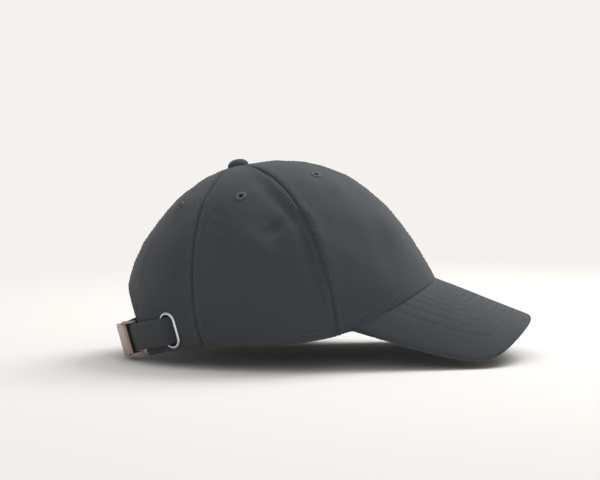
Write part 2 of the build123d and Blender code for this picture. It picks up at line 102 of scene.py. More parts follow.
# ---- shapes -------------------------------------------------------------------------------
@dataclass(frozen=True)
class VisorForm:
    """The visor's arched surface, laid out along its ridge (u) and across (y)."""

    ridge_x: float = 77.7
    ridge_z: float = 52.6
    slope: float = 21.5
    length: float = 70.0
    half_width: float = 77.7
    arch_width: float = 88.0
    arch_drop: float = 87.6
    back: float = 57.0

    def axes(self) -> tuple[Vector, Vector, Vector]:
        """Returns the ridge's origin, its direction and the direction square to it, downwards."""
        a = math.radians(self.slope)
        return (
            Vector((self.ridge_x, 0, self.ridge_z)),
            Vector((math.cos(a), 0, -math.sin(a))),
            Vector((-math.sin(a), 0, -math.cos(a))),
        )

    def drop(self, y: float) -> float:
        """How far the arch lies below its ridge at y."""
        return self.arch_drop * (1 - math.sqrt(max(0.02, 1 - (y / self.arch_width) ** 2)))

    def to_plan(self, point: Vector) -> tuple[float, float, float]:
        """A world point as its u, y and drop."""
        origin, along, down = self.axes()
        offset = point - origin
        return offset.dot(along), offset.y, offset.dot(down)

    def point(self, u: float, y: float, lift: float = 0.0) -> Vector:
        """A world point on the arch, lifted square to it."""
        origin, along, down = self.axes()
        across = Vector((0, 1, 0))
        return origin + along * u + across * y + down * self.drop(y) + self.normal(y) * lift

    def normal(self, y: float) -> Vector:
        """The arch's upward normal at y."""
        _, _, down = self.axes()
        root = math.sqrt(max(0.02, 1 - (y / self.arch_width) ** 2))
        rise = self.arch_drop * y / (self.arch_width**2 * root)
        return (Vector((0, 1, 0)) * rise - down).normalized()

    def outline(self, count: int) -> list[tuple[float, float]]:
        """Even points (u, y) along the cut edge, from the right corner to the left."""
        half = [(-self.back, 1.0), (-0.21 * self.length, 0.983), (0.36 * self.length, 0.943),
                (0.66 * self.length, 0.865), (0.88 * self.length, 0.56)]
        knots = [(u, -y * self.half_width) for u, y in half] + [(self.length, 0.0)]
        knots += [(u, y * self.half_width) for u, y in reversed(half)]
        return even_points(natural_spline(knots, 400), count)


def natural_spline(knots: list[tuple[float, float]], count: int) -> list[tuple[float, float]]:
    """A natural cubic through planar knots.

    Args:
        knots: the points it passes through.
        count: how many points to return.
    Returns:
        Points along the curve, ends included.
    """
    xy = np.array(knots, float)
    t = np.concatenate([[0], np.cumsum(np.hypot(*np.diff(xy, axis=0).T))])
    n, h = len(t), np.diff(t)
    rows = np.zeros((n, n))
    right = np.zeros((n, 2))
    rows[0, 0] = rows[-1, -1] = 1
    for i in range(1, n - 1):
        rows[i, i - 1 : i + 2] = h[i - 1], 2 * (h[i - 1] + h[i]), h[i]
        right[i] = 6 * ((xy[i + 1] - xy[i]) / h[i] - (xy[i] - xy[i - 1]) / h[i - 1])
    bend = np.linalg.solve(rows, right)
    out = []
    for s in np.linspace(0, t[-1], count):
        i = min(int(np.searchsorted(t, s, side="right")) - 1, n - 2)
        a, b = t[i + 1] - s, s - t[i]
        point = (bend[i] * a**3 + bend[i + 1] * b**3) / (6 * h[i])
        point += (xy[i] / h[i] - bend[i] * h[i] / 6) * a + (xy[i + 1] / h[i] - bend[i + 1] * h[i] / 6) * b
        out.append((float(point[0]), float(point[1])))
    return out


def even_points(points: list, count: int) -> list:
    """Resamples a path at even distances.

    Args:
        points: the path, as tuples or vectors.
        count: how many points to return.
    Returns:
        Tuples of coordinates.
    """
    xyz = np.array([tuple(p) for p in points], float)
    t = np.concatenate([[0], np.cumsum(np.linalg.norm(np.diff(xyz, axis=0), axis=1))])
    s = np.linspace(0, t[-1], count)
    return list(zip(*(np.interp(s, t, xyz[:, k]).tolist() for k in range(xyz.shape[1]))))


@dataclass(frozen=True)
class Fold:
    """A crease or swelling of the cloth along a line in the side view."""

    line: tuple[tuple[float, float], ...]
    depth: float
    width: float
    side: int

    def at(self, p: Vector) -> float:
        """How far this fold moves the cloth outwards at a point."""
        if p.y * self.side <= 0:
            return 0.0
        best, place = 1e9, 0.0
        spans = len(self.line) - 1
        for i, (a, b) in enumerate(zip(self.line, self.line[1:])):
            ax, az, dx, dz = a[0], a[1], b[0] - a[0], b[1] - a[1]
            f = min(1.0, max(0.0, ((p.x - ax) * dx + (p.z - az) * dz) / (dx * dx + dz * dz + 1e-9)))
            d = math.hypot(p.x - ax - f * dx, p.z - az - f * dz)
            if d < best:
                best, place = d, (i + f) / spans
        ends = min(1.0, 0.25 + 3 * min(place, 1 - place))
        return self.depth * ends * math.exp(-((best / self.width) ** 2)) * min(1.0, abs(p.y) / 18)


FOLDS = (
    Fold(((-46, 123), (-17, 96), (-7, 65), (1, 30)), -2.6, 4.5, -1),
    Fold(((-37, 120), (-9, 97), (3, 66), (9, 32)), 1.1, 5.5, -1),
    Fold(((-57, 90), (-44, 79), (-29, 70)), 2.2, 7.0, -1),
    Fold(((-36, 95), (-30, 88)), -2.8, 8.0, -1),
    Fold(((-60, 80), (-54, 42), (-32, 24)), -1.7, 6.0, -1),
    Fold(((-74, 104), (-66, 96)), -1.1, 3.0, -1),
    Fold(((-75, 95), (-66, 89)), -1.0, 2.5, -1),
    Fold(((-94, 84), (-92, 40)), -1.2, 6.0, -1),
    Fold(((30, 90), (44, 66), (50, 52)), -0.9, 9.0, -1),
    Fold(((-44, 122), (-14, 97), (-5, 64), (2, 32)), -2.0, 5.0, 1),
    Fold(((-60, 86), (-38, 74), (-24, 60)), 1.8, 8.0, 1),
    Fold(((-66, 72), (-52, 44), (-40, 26)), -1.6, 6.5, 1),
    Fold(((-98, 88), (-90, 50)), -1.2, 7.0, 1),
    Fold(((24, 96), (42, 70)), -1.0, 9.0, 1),
)


@dataclass(frozen=True)
class CrownForm:
    """The crown's surface: Bezier sections about the button's axis, in the frame of the rim."""

    tilt: float = 10.5
    centre: tuple[float, float, float] = (-26.7, 0.0, 20.9)
    half_length: float = 106.5
    half_width: float = 84.0
    forward: float = 2.0
    button_back: float = 12.3
    height: float = 114.0
    apex: float = 1.6
    rim_lift: tuple[float, ...] = (8.0, -4.5, 3.0, -2.2)
    shoulder_reach: tuple[float, ...] = (70.0, 60.0, 47.0, 42.0)
    shoulder_height: tuple[float, ...] = (110.0, 113.0, 113.0, 111.0)
    wall_reach: tuple[float, ...] = (-26.0, 9.0, 14.0, 17.0)
    wall_height: tuple[float, ...] = (87.0, 64.0, 62.0, 62.0)
    opening: float = 76.0
    arch_top: float = 47.0
    arch_spring: float = 12.0
    visor: VisorForm = field(default_factory=VisorForm)

    def frame(self) -> tuple[Vector, Vector, Vector]:
        """Returns the rim's forward and up directions and the foot of the crown's axis."""
        a = math.radians(self.tilt)
        ahead = Vector((math.cos(a), 0, math.sin(a)))
        return ahead, Vector((-math.sin(a), 0, math.cos(a))), Vector(self.centre) - ahead * self.button_back

    def blend(self, values: tuple[float, ...], azimuth: float) -> float:
        """A smooth value between the four seams."""
        weights = SERIES @ np.array(values)
        return float(sum(w * math.cos(k * math.radians(azimuth)) for k, w in enumerate(weights)))

    def rim_radius(self, azimuth: float) -> float:
        """Distance from the axis to the rim."""
        c = math.cos(math.radians(azimuth)) / self.half_length
        s = math.sin(math.radians(azimuth)) / self.half_width
        offset = (self.button_back + self.forward) / self.half_length
        a, b = c * c + s * s, -c * offset
        return (-b + math.sqrt(b * b - a * (offset * offset - 1))) / a

    def section(self, azimuth: float, depth: float = 0.0) -> list[tuple[float, float]]:
        """The section's four Bezier points at a depth inside the outer face."""
        rim = self.rim_radius(azimuth)
        points = [
            Vector((self.apex, self.height)),
            Vector((self.blend(self.shoulder_reach, azimuth), self.blend(self.shoulder_height, azimuth))),
            Vector((rim + self.blend(self.wall_reach, azimuth), self.blend(self.wall_height, azimuth))),
            Vector((rim, self.blend(self.rim_lift, azimuth))),
        ]
        legs = [(b - a).normalized() for a, b in zip(points, points[1:])]
        inward = [Vector((leg.y, -leg.x)) for leg in legs]
        moved = [points[0] + Vector((0, -depth))]
        for point, before, after in zip(points[1:3], inward, inward[1:]):
            moved.append(point + (before + after) * (depth / (1 + before.dot(after))))
        return moved + [points[3] + inward[2] * depth]

    def on_section(self, section: list, azimuth: float, t: float) -> Vector:
        """The world point at t on a section."""
        s = 1 - t
        local = section[0] * s**3 + section[1] * (3 * s * s * t) + section[2] * (3 * s * t * t) + section[3] * t**3
        ahead, up, foot = self.frame()
        a = math.radians(azimuth)
        return foot + (ahead * math.cos(a) + Vector((0, math.sin(a), 0))) * local.x + up * local.y

    def point(self, azimuth: float, t: float, depth: float = 0.0) -> Vector:
        """The world point at an azimuth and t, at a depth."""
        return self.on_section(self.section(azimuth, depth), azimuth, t)

    def level(self, p: Vector) -> float:
        """Height above the rim plane."""
        return (p - Vector(self.centre)).dot(self.frame()[1])

    def over_edge(self, azimuth: float, p: Vector) -> bool:
        """Whether a point of the section is past the visor's seam or the rear opening's edge."""
        u, y, w = self.visor.to_plan(p)
        if u > -self.visor.back and abs(y) < self.visor.half_width + 2 and w > self.visor.drop(y) - 0.1:
            return True
        if 90 < azimuth % 360 < 270 and abs(p.y) < self.opening / 2:
            rise = math.sqrt(1 - (p.y / (self.opening / 2)) ** 2)
            return self.level(p) < self.arch_spring + (self.arch_top - self.arch_spring) * rise
        return False

    def end(self, azimuth: float) -> float:
        """The t at which the panel ends, at the rim, the visor or the rear opening."""
        section = self.section(azimuth)
        if not self.over_edge(azimuth, self.on_section(section, azimuth, 1.0)):
            return 1.0
        low, high = 0.3, 1.0
        for _ in range(30):
            middle = (low + high) / 2
            if self.over_edge(azimuth, self.on_section(section, azimuth, middle)):
                high = middle
            else:
                low = middle
        return low

    def at_height(self, azimuth: float, height: float, depth: float) -> Vector:
        """A point at a height above the local rim and a depth inside the outer face."""
        section = self.section(azimuth, depth)
        level = self.blend(self.rim_lift, azimuth) + height
        low, high = 0.0, 1.0
        for _ in range(30):
            middle = (low + high) / 2
            if self.level(self.on_section(section, azimuth, middle)) > level:
                low = middle
            else:
                high = middle
        return self.on_section(section, azimuth, low)

    def normal(self, azimuth: float, t: float) -> Vector:
        """The outward normal."""
        t = min(max(t, 0.02), 0.985)
        across = self.point(azimuth + 0.5, t) - self.point(azimuth - 0.5, t)
        upward = self.point(azimuth, t - 0.01) - self.point(azimuth, t + 0.01)
        return across.cross(upward).normalized()

    def seam_distance(self, azimuth: float, p: Vector) -> float:
        """Distance along the cloth to the nearest seam."""
        _, up, foot = self.frame()
        offset = p - foot
        radius = (offset - up * offset.dot(up)).length
        nearest = min(abs((azimuth - s + 180) % 360 - 180) for s in SEAMS)
        return math.radians(nearest) * radius

    def relief(self, azimuth: float, t: float, p: Vector) -> float:
        """How far the sewn, handled cloth stands out of the plain surface at a point."""
        d = self.seam_distance(azimuth, p)
        out = -1.0 * math.exp(-((d / 0.9) ** 2)) + 0.45 * math.exp(-(((d - 3.0) / 2.4) ** 2))
        out -= 0.22 * math.exp(-(((d - 3.0) / 0.55) ** 2))
        pucker = noise.noise(Vector((p.x * 0.16, azimuth * 0.05, p.z * 0.16)))
        out += 0.5 * pucker * math.exp(-((d / 7.0) ** 2))
        soft = noise.noise(p * 0.028 + Vector((3.1, 7.7, 1.3))) * 1.5 + noise.noise(p * 0.06) * 0.5
        soft += sum(fold.at(p) for fold in FOLDS)
        rim = min(1.0, max(0.0, (self.end(azimuth) - t) / 0.1)) if t > 0.6 else 1.0
        top = min(1.0, t / 0.12)
        return (out + soft * (0.12 + 0.88 * rim)) * top

    def cloth(self, azimuth: float, t: float, depth: float = 0.0) -> Vector:
        """The cloth's world point, relief included."""
        p = self.point(azimuth, t)
        return p + self.normal(azimuth, t) * (self.relief(azimuth, t, p) - depth)


SERIES = np.linalg.inv(np.array([[math.cos(k * math.radians(a)) for k in range(4)] for a in (0, 60, 120, 180)]))


# ---- mesh making --------------------------------------------------------------------------
def patch(
    name: str,
    size: tuple[int, int],
    place: Place,
    outward: Callable[[Vector], Vector],
    uv: Callable[[int, int], tuple[float, float]] | None = None,
    drop_face: Callable[[Vector], bool] | None = None,
    weld: bool = False,
) -> bpy.types.Object:
    """Makes a piece from a grid whose points are placed by a formula.

    Args:
        name: the piece's name.
        size: cells one way and the other.
        place: the position in millimetres of grid point (i, j).
        outward: the outward direction at a position in millimetres.
        uv: cloth coordinates in millimetres of grid point (i, j).
        drop_face: says which cells are cut away, by their centres.
        weld: joins edges that meet.
    Returns:
        The new object, with its place in its mesh.
    """
    bm = bmesh.new()
    bmesh.ops.create_grid(bm, x_segments=size[0], y_segments=size[1], size=1.0)
    index = {v: (round((v.co.x + 1) / 2 * size[0]), round((v.co.y + 1) / 2 * size[1])) for v in bm.verts}
    for v, (i, j) in index.items():
        v.co = place(i, j)
    layer = bm.loops.layers.uv.new("cloth")
    if uv:
        for face in bm.faces:
            for loop in face.loops:
                loop[layer].uv = uv(*index[loop.vert])
    if drop_face:
        gone = [f for f in bm.faces if drop_face(f.calc_center_median())]
        bmesh.ops.delete(bm, geom=gone, context="FACES")
    bm.normal_update()
    facing = sum(f.normal.dot(outward(f.calc_center_median())) * f.calc_area() for f in bm.faces)
    if facing < 0:
        bmesh.ops.reverse_faces(bm, faces=bm.faces)
    if weld:
        bmesh.ops.remove_doubles(bm, verts=bm.verts, dist=0.005)
        bmesh.ops.dissolve_degenerate(bm, edges=bm.edges, dist=0.001)
    return as_piece(name, bm)


def as_piece(name: str, bm: bmesh.types.BMesh, smooth: bool = True) -> bpy.types.Object:
    """Turns a bmesh in millimetres into an object in metres."""
    bmesh.ops.scale(bm, vec=(MM, MM, MM), verts=bm.verts)
    mesh = bpy.data.meshes.new(name)
    bm.to_mesh(mesh)
    bm.free()
    for polygon in mesh.polygons:
        polygon.use_smooth = smooth
    piece = bpy.data.objects.new(name, mesh)
    bpy.context.scene.collection.objects.link(piece)
    return piece


def thicken(piece: bpy.types.Object, thickness: float) -> None:
    """Gives a sheet its thickness, inwards from its faces."""
    solid = piece.modifiers.new("thickness", "SOLIDIFY")
    solid.thickness = thickness * MM
    solid.offset = -1


def finish_piece(
    piece: bpy.types.Object,
    material: bpy.types.Material,
    finish: Finish,
    nodes: tuple[str, ...] = (),
    body: str = "cap",
) -> bpy.types.Object:
    """Dresses a piece, seats it on its body and hides the CAD nodes it stands for."""
    piece.data.materials.append(material)
    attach(piece, body)
    if nodes:
        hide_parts(*nodes)
    log.info("made %s", piece.name)
    return piece


@dataclass(frozen=True)
class Stitch:
    """One kind of stitching: length and width of a stitch, and its pitch along the row."""

    length: float = 2.3
    width: float = 0.55
    pitch: float = 3.1

    def add_row(self, bm: bmesh.types.BMesh, path: list[Vector], normal: Callable[[int], Vector]) -> None:
        """Adds a row of stitches along a path.

        Args:
            bm: the mesh that gathers the rows.
            path: points on the cloth, in millimetres.
            normal: the cloth's normal at a point of the path.
        """
        xyz = np.array([tuple(p) for p in path])
        t = np.concatenate([[0], np.cumsum(np.linalg.norm(np.diff(xyz, axis=0), axis=1))])
        for k in range(int(t[-1] / self.pitch)):
            s = (k + 0.5) * self.pitch
            ends = [Vector([float(np.interp(q, t, xyz[:, c])) for c in range(3)])
                    for q in (s - self.length / 2, s + self.length / 2)]
            up = normal(min(int(np.searchsorted(t, s)), len(path) - 1))
            along = (ends[1] - ends[0]).normalized()
            side = up.cross(along).normalized()
            turn = Matrix((along, side, along.cross(side))).transposed().to_4x4()
            middle = (ends[0] + ends[1]) / 2 + up * 0.08
            scale = Matrix.Diagonal((self.length / 2, self.width / 2, self.width * 0.42, 1))
            matrix = Matrix.Translation(middle) @ turn @ scale
            bmesh.ops.create_icosphere(bm, subdivisions=1, radius=1.0, matrix=matrix)


# ---- finishes -----------------------------------------------------------------------------
def group_io(name: str, inputs: dict, outputs: dict) -> tuple:
    """Starts a shader node group.

    Args:
        name: the group's name.
        inputs: socket names to (type, default).
        outputs: socket names to types.
    Returns:
        The group, its input node and its output node.
    """
    group = bpy.data.node_groups.new(name, "ShaderNodeTree")
    for key, (kind, value) in inputs.items():
        socket = group.interface.new_socket(key, in_out="INPUT", socket_type=kind)
        if value is not None:
            socket.default_value = value
    for key, kind in outputs.items():
        group.interface.new_socket(key, in_out="OUTPUT", socket_type=kind)
    return group, group.nodes.new("NodeGroupInput"), group.nodes.new("NodeGroupOutput")


def math_node(tree, operation: str, a, b=None, c=None):
    """Adds a Math node whose inputs are sockets or numbers, and returns its output."""
    node = tree.nodes.new("ShaderNodeMath")
    node.operation = operation
    for socket, value in zip(node.inputs, (a, b, c)):
        if value is None:
            continue
        if isinstance(value, (int, float)):
            socket.default_value = value
        else:
            tree.links.new(value, socket)
    return node.outputs[0]


def twill_group() -> bpy.types.NodeTree:
    """A twill weave: steep diagonal ribs crossed by the finer yarns, with a slubby unevenness; its Shade output
    follows the rib height, and colour mixed by it is painted shade in the hollows.
    """
    group, given, out = group_io(
        "twill weave",
        {"Cloth": ("NodeSocketVector", None), "Pitch": ("NodeSocketFloat", 0.8)},
        {"Height": "NodeSocketFloat", "Shade": "NodeSocketFloat"},
    )
    links = group.links
    split = group.nodes.new("ShaderNodeSeparateXYZ")
    links.new(given.outputs["Cloth"], split.inputs[0])
    x, y = split.outputs[0], split.outputs[1]
    turns = math_node(group, "DIVIDE", 2 * math.pi, given.outputs["Pitch"])
    rib = math_node(group, "MULTIPLY_ADD", y, 0.62, math_node(group, "MULTIPLY", x, 0.78))
    ribs = math_node(group, "SINE", math_node(group, "MULTIPLY", rib, turns))
    yarn = math_node(group, "MULTIPLY", math_node(group, "MULTIPLY", y, 2.1), turns)
    yarns = math_node(group, "SINE", yarn)
    slub = group.nodes.new("ShaderNodeTexNoise")
    slub.inputs["Scale"].default_value = 0.9
    slub.inputs["Detail"].default_value = 3
    links.new(given.outputs["Cloth"], slub.inputs["Vector"])
    weave = math_node(group, "MULTIPLY_ADD", ribs, 0.34, math_node(group, "MULTIPLY", yarns, 0.12))
    height = math_node(group, "MULTIPLY_ADD", slub.outputs["Fac"], 0.5, weave)
    links.new(height, out.inputs["Height"])
    links.new(math_node(group, "MULTIPLY_ADD", weave, 0.5, 0.5), out.inputs["Shade"])
    return group


def wear_group() -> bpy.types.NodeTree:
    """Broad fading and fine lint over a surface, from its place."""
    group, given, out = group_io(
        "fading", {"Broad": ("NodeSocketFloat", 26.0), "Fine": ("NodeSocketFloat", 900.0)},
        {"Fade": "NodeSocketFloat", "Grain": "NodeSocketFloat"},
    )
    where = group.nodes.new("ShaderNodeTexCoord")
    for key, name, detail in (("Broad", "Fade", 3), ("Fine", "Grain", 2)):
        cloud = group.nodes.new("ShaderNodeTexNoise")
        cloud.inputs["Detail"].default_value = detail
        group.links.new(where.outputs["Object"], cloud.inputs["Vector"])
        group.links.new(given.outputs[key], cloud.inputs["Scale"])
        group.links.new(cloud.outputs["Fac"], out.inputs[name])
    return group


def use_group(tree, group: bpy.types.NodeTree, **values: float):
    """Places a node group in a material with its own values."""
    node = tree.nodes.new("ShaderNodeGroup")
    node.node_tree = group
    for key, value in values.items():
        node.inputs[key].default_value = value
    return node


def mix_colour(tree, factor, low, high):
    """Adds a colour mix between two colours or sockets, and returns its output."""
    node = tree.nodes.new("ShaderNodeMix")
    node.data_type = "RGBA"
    tree.links.new(factor, node.inputs["Factor"])
    for socket, value in ((node.inputs[6], low), (node.inputs[7], high)):
        if isinstance(value, tuple):
            socket.default_value = (*value, 1)
        else:
            tree.links.new(value, socket)
    return node.outputs[2]


def new_material(name: str) -> tuple:
    """Returns a new material, its tree and its Principled shader."""
    material = bpy.data.materials.new(name)
    material.use_nodes = True
    tree = material.node_tree
    return material, tree, tree.nodes["Principled BSDF"]


@dataclass(frozen=True)
class Cloth:
    """Woven cloth whose weave follows the piece's cloth coordinates; its colour is darker in the weave's hollows,
    which is painted shade.
    """

    name: str
    painted_hollow_shade: tuple[float, float, float]
    raised: tuple[float, float, float]
    pitch: float = 0.8
    bump: float = 0.35
    sheen: float = 0.12

    def build(self, twill: bpy.types.NodeTree, fading: bpy.types.NodeTree) -> bpy.types.Material:
        """Makes the material."""
        material, tree, shader = new_material(self.name)
        cloth = tree.nodes.new("ShaderNodeUVMap")
        cloth.uv_map = "cloth"
        weave = use_group(tree, twill, Pitch=self.pitch)
        tree.links.new(cloth.outputs[0], weave.inputs["Cloth"])
        wear = use_group(tree, fading, Broad=26.0, Fine=900.0)
        lighter = tuple(min(1.0, c * 1.22) for c in self.raised)
        faded = mix_colour(tree, wear.outputs["Fade"], self.raised, lighter)
        # Painted shade: where the weave lies low the colour goes to the darker first colour, following the rib
        # height.
        woven = mix_colour(tree, weave.outputs["Shade"], self.painted_hollow_shade, faded)
        tree.links.new(woven, shader.inputs["Base Color"])
        tree.links.new(math_node(tree, "MULTIPLY_ADD", wear.outputs["Grain"], 0.2, 0.78), shader.inputs["Roughness"])
        bump = tree.nodes.new("ShaderNodeBump")
        bump.inputs["Strength"].default_value = self.bump
        bump.inputs["Distance"].default_value = 0.00022
        tree.links.new(weave.outputs["Height"], bump.inputs["Height"])
        tree.links.new(bump.outputs[0], shader.inputs["Normal"])
        shader.inputs["Specular IOR Level"].default_value = 0.2
        shader.inputs["Sheen Weight"].default_value = self.sheen
        shader.inputs["Sheen Roughness"].default_value = 0.5
        return material


@dataclass(frozen=True)
class Plain:
    """Thread, plastic or metal: a colour that varies a little, with a fine grain."""

    name: str
    dark: tuple[float, float, float]
    light: tuple[float, float, float]
    roughness: float
    metallic: float = 0.0
    broad: float = 120.0
    grain: float = 0.15
    relief: float = 0.00003

    def build(self, fading: bpy.types.NodeTree) -> bpy.types.Material:
        """Makes the material."""
        material, tree, shader = new_material(self.name)
        wear = use_group(tree, fading, Broad=self.broad, Fine=2200.0)
        tree.links.new(mix_colour(tree, wear.outputs["Fade"], self.dark, self.light), shader.inputs["Base Color"])
        rough = math_node(tree, "MULTIPLY_ADD", wear.outputs["Grain"], self.grain, self.roughness)
        tree.links.new(rough, shader.inputs["Roughness"])
        bump = tree.nodes.new("ShaderNodeBump")
        bump.inputs["Strength"].default_value = 0.3
        bump.inputs["Distance"].default_value = self.relief
        tree.links.new(wear.outputs["Grain"], bump.inputs["Height"])
        tree.links.new(bump.outputs[0], shader.inputs["Normal"])
        shader.inputs["Metallic"].default_value = self.metallic
        return material


# ---- sub-assemblies -----------------------------------------------------------------------
@dataclass
class Crown:
    """The six panels with their eyelets, button, stitching, tapes and stiffening."""

    form: CrownForm
    cloth: bpy.types.Material
    thread: bpy.types.Material
    tape: bpy.types.Material
    buckram: bpy.types.Material
    thickness: float = 0.9
    across: int = 56
    down: int = 120
    eyelet_t: float = 0.36
    eyelet_radius: float = 3.6
    eyelet_hole: float = 1.5

    def columns(self, start: float, end: float) -> list[float]:
        """Azimuths across a panel, closer at its seams and at the rear opening's corner."""
        turns = []
        for k in range(self.across + 1):
            f = k / self.across
            turns.append(start + (end - start) * (f - 0.11 * math.sin(2 * math.pi * f)))
        corner = 154.8
        if start < corner < end:
            below = max(k for k, a in enumerate(turns) if a < corner)
            turns[below], turns[below + 1] = corner - 0.12, corner + 0.12
        if start < 360 - corner < end:
            below = max(k for k, a in enumerate(turns) if a < 360 - corner)
            turns[below], turns[below + 1] = 360 - corner - 0.12, 360 - corner + 0.12
        return turns

    def eyelet_place(self, azimuth: float) -> tuple[Vector, Vector]:
        """Where an eyelet sits, and which way it faces."""
        return self.form.cloth(azimuth, self.eyelet_t), self.form.normal(azimuth, self.eyelet_t)

    def sheet(
        self,
        name: str,
        turns: list[float],
        span: Callable[[float], tuple[float, float]],
        depth: float,
        thickness: float,
        drop: Callable[[Vector], bool] | None = None,
        rows: int = 120,
    ) -> bpy.types.Object:
        """One layer of the crown.

        Args:
            name: the piece's name.
            turns: azimuths of its columns.
            span: first and last t of a column.
            depth: its outer face, inside the crown's.
            thickness: its thickness.
            drop: says which cells are cut away.
            rows: cells down the section.
        Returns:
            The piece.
        """
        form, middle = self.form, (turns[0] + turns[-1]) / 2
        spans = [span(a) for a in turns]
        _, up, foot = form.frame()

        def place(i: int, j: int) -> Vector:
            t = spans[i][0] + (spans[i][1] - spans[i][0]) * j / rows
            return form.cloth(turns[i], t, depth)

        def cloth(i: int, j: int) -> tuple[float, float]:
            t = spans[i][0] + (spans[i][1] - spans[i][0]) * j / rows
            p = form.point(turns[i], t) - foot
            return math.radians(turns[i] - middle) * (p - up * p.dot(up)).length, t * 185.0

        def out(p: Vector) -> Vector:
            return p - (foot + up * 30)

        piece = patch(name, (len(turns) - 1, rows), place, out, cloth, drop)
        thicken(piece, thickness)
        return piece

    def panels(self) -> None:
        """The six panels, each cut to the visor, the rim or the rear opening."""
        names = ("front_panel_left", "side_panel_left", "rear_panel_left",
                 "rear_panel_right", "side_panel_right", "front_panel_right")
        slot = GrommetPlace(self.form)
        for name, start in zip(names, SEAMS):
            eye, _ = self.eyelet_place(start + 30)

            def gone(p: Vector) -> bool:
                return (p - eye).length < 2.2 or (name == "rear_panel_right" and slot.inside(p, 0.5))

            piece = self.sheet(name, self.columns(start, start + 60), lambda a: (0.0, self.form.end(a)),
                               0.0, self.thickness, gone, self.down)
            finish_piece(piece, self.cloth, Finish.TWILL, (name,))

    def linings(self) -> None:
        """Seam tapes and stiffening behind the front."""
        form = self.form
        tapes = {"seam_tape_front": 0, "seam_tape_front_left": 60, "seam_tape_rear_left": 120,
                 "seam_tape_rear": 180, "seam_tape_rear_right": 240, "seam_tape_front_right": 300}
        for name, seam in tapes.items():
            cut = 0.06 if seam == 180 else 0.035
            last = form.end(seam) - cut
            rows = 90

            def place(i: int, j: int) -> Vector:
                t = 0.09 + (last - 0.09) * j / rows
                p = form.point(seam, t)
                _, up, foot = form.frame()
                offset = p - foot
                radius = (offset - up * offset.dot(up)).length
                side = -6.0 + 12.0 * i / 8
                d = form.cloth(seam + math.degrees(side / radius), t, self.thickness + 0.35)
                return d

            def out(p: Vector) -> Vector:
                return p - (form.frame()[2] + form.frame()[1] * 30)

            piece = patch(name, (8, rows), place, out, lambda i, j: (1.5 * i, 1.9 * j))
            thicken(piece, 0.5)
            finish_piece(piece, self.tape, Finish.TAPE, (name,))
        for name, start in (("front_stiffener_left", 4), ("front_stiffener_right", 304)):
            turns = [start + 52 * k / 30 for k in range(31)]
            eye, _ = self.eyelet_place(start + 26)
            piece = self.sheet(name, turns, lambda a: (0.16, form.end(a) - 0.05), self.thickness + 0.3, 0.5,
                               lambda p: (p - eye).length < 5.5, 60)
            finish_piece(piece, self.buckram, Finish.BUCKRAM, (name,))

    def stitching(self) -> None:
        """Twin rows beside each seam, and rows along the visor, the rim and the rear opening."""
        form, bm, stitch = self.form, bmesh.new(), Stitch()
        for seam in SEAMS:
            last = form.end(seam)
            for side in (-3.0, 3.0):
                path, ups = [], []
                for k in range(120):
                    t = 0.07 + (last - 0.012 - 0.07) * k / 119
                    p = form.point(seam, t)
                    _, up, foot = form.frame()
                    offset = p - foot
                    turn = seam + math.degrees(side / (offset - up * offset.dot(up)).length)
                    path.append(form.cloth(turn, t))
                    ups.append(form.normal(turn, t))
                stitch.add_row(bm, path, lambda k: ups[k])
        for first, final, back in ((-80, 80, 0.026), (84, 150, 0.02), (210, 276, 0.02),
                                   (156.5, 203.5, 0.012), (157.5, 202.5, 0.042)):
            path, ups = [], []
            count = int(abs(final - first) * 2)
            for k in range(count + 1):
                turn = first + (final - first) * k / count
                t = form.end(turn) - back
                path.append(form.cloth(turn, t))
                ups.append(form.normal(turn, t))
            stitch.add_row(bm, path, lambda k: ups[k])
        finish_piece(as_piece("crown_stitching", bm), self.thread, Finish.THREAD)

    def eyelets(self) -> None:
        """Embroidered rings, their satin stitches laid radially."""
        names = ("front_eyelet_left", "side_eyelet_left", "rear_eyelet_left",
                 "rear_eyelet_right", "side_eyelet_right", "front_eyelet_right")
        middle = (self.eyelet_radius + self.eyelet_hole) / 2
        half = (self.eyelet_radius - self.eyelet_hole) / 2 + 0.1
        around, section = 132, 12
        for name, start in zip(names, SEAMS):
            centre, up = self.eyelet_place(start + 30)
            east = up.orthogonal().normalized()
            north = up.cross(east)

            def place(i: int, j: int) -> Vector:
                a, b = 2 * math.pi * i / around, 2 * math.pi * j / section
                rib = 1 + 0.1 * math.cos(33 * a)
                reach = middle + half * math.cos(b) * (1 + 0.03 * math.sin(5 * a))
                lift = 0.15 + 0.75 * rib * math.sin(b)
                return centre + (east * math.cos(a) + north * math.sin(a)) * reach + up * lift

            def out(p: Vector) -> Vector:
                flat = p - centre - up * (p - centre).dot(up)
                return p - (centre + flat.normalized() * middle + up * 0.15)

            piece = patch(name, (around, section), place, out, weld=True)
            finish_piece(piece, self.thread, Finish.THREAD, (name,))

    def button(self) -> None:
        """The covered button: a dome gathered in under its edge."""
        form = self.form
        _, up, foot = form.frame()
        base = foot + up * (form.height - 0.9)
        east = Vector((0, 1, 0))
        north = up.cross(east)
        outline = [(0.001, 5.2), (1.6, 5.1), (3.4, 4.75), (5.0, 4.0), (6.3, 2.9), (7.0, 1.8), (7.2, 1.0),
                   (7.0, 0.45), (6.4, 0.2), (5.4, 0.1), (4.0, 0.25), (0.001, 0.25)]
        curve = natural_spline(outline, 40)

        def place(i: int, j: int) -> Vector:
            a = 2 * math.pi * i / 72
            r, z = curve[j]
            gather = 1 + 0.012 * math.cos(18 * a) * min(1.0, max(0.0, (j - 12) / 10))
            return base + (east * math.cos(a) + north * math.sin(a)) * r * gather + up * z

        piece = patch("button_cover", (72, 39), place, lambda p: p - (base + up * 2),
                      lambda i, j: (curve[j][0] * math.cos(2 * math.pi * i / 72) * 1.0,
                                    curve[j][0] * math.sin(2 * math.pi * i / 72)), weld=True)
        finish_piece(piece, self.cloth, Finish.TWILL, ("button_cover",))

    def build(self) -> None:
        """Builds the whole crown."""
        self.panels()
        self.linings()
        self.stitching()
        self.eyelets()
        self.button()


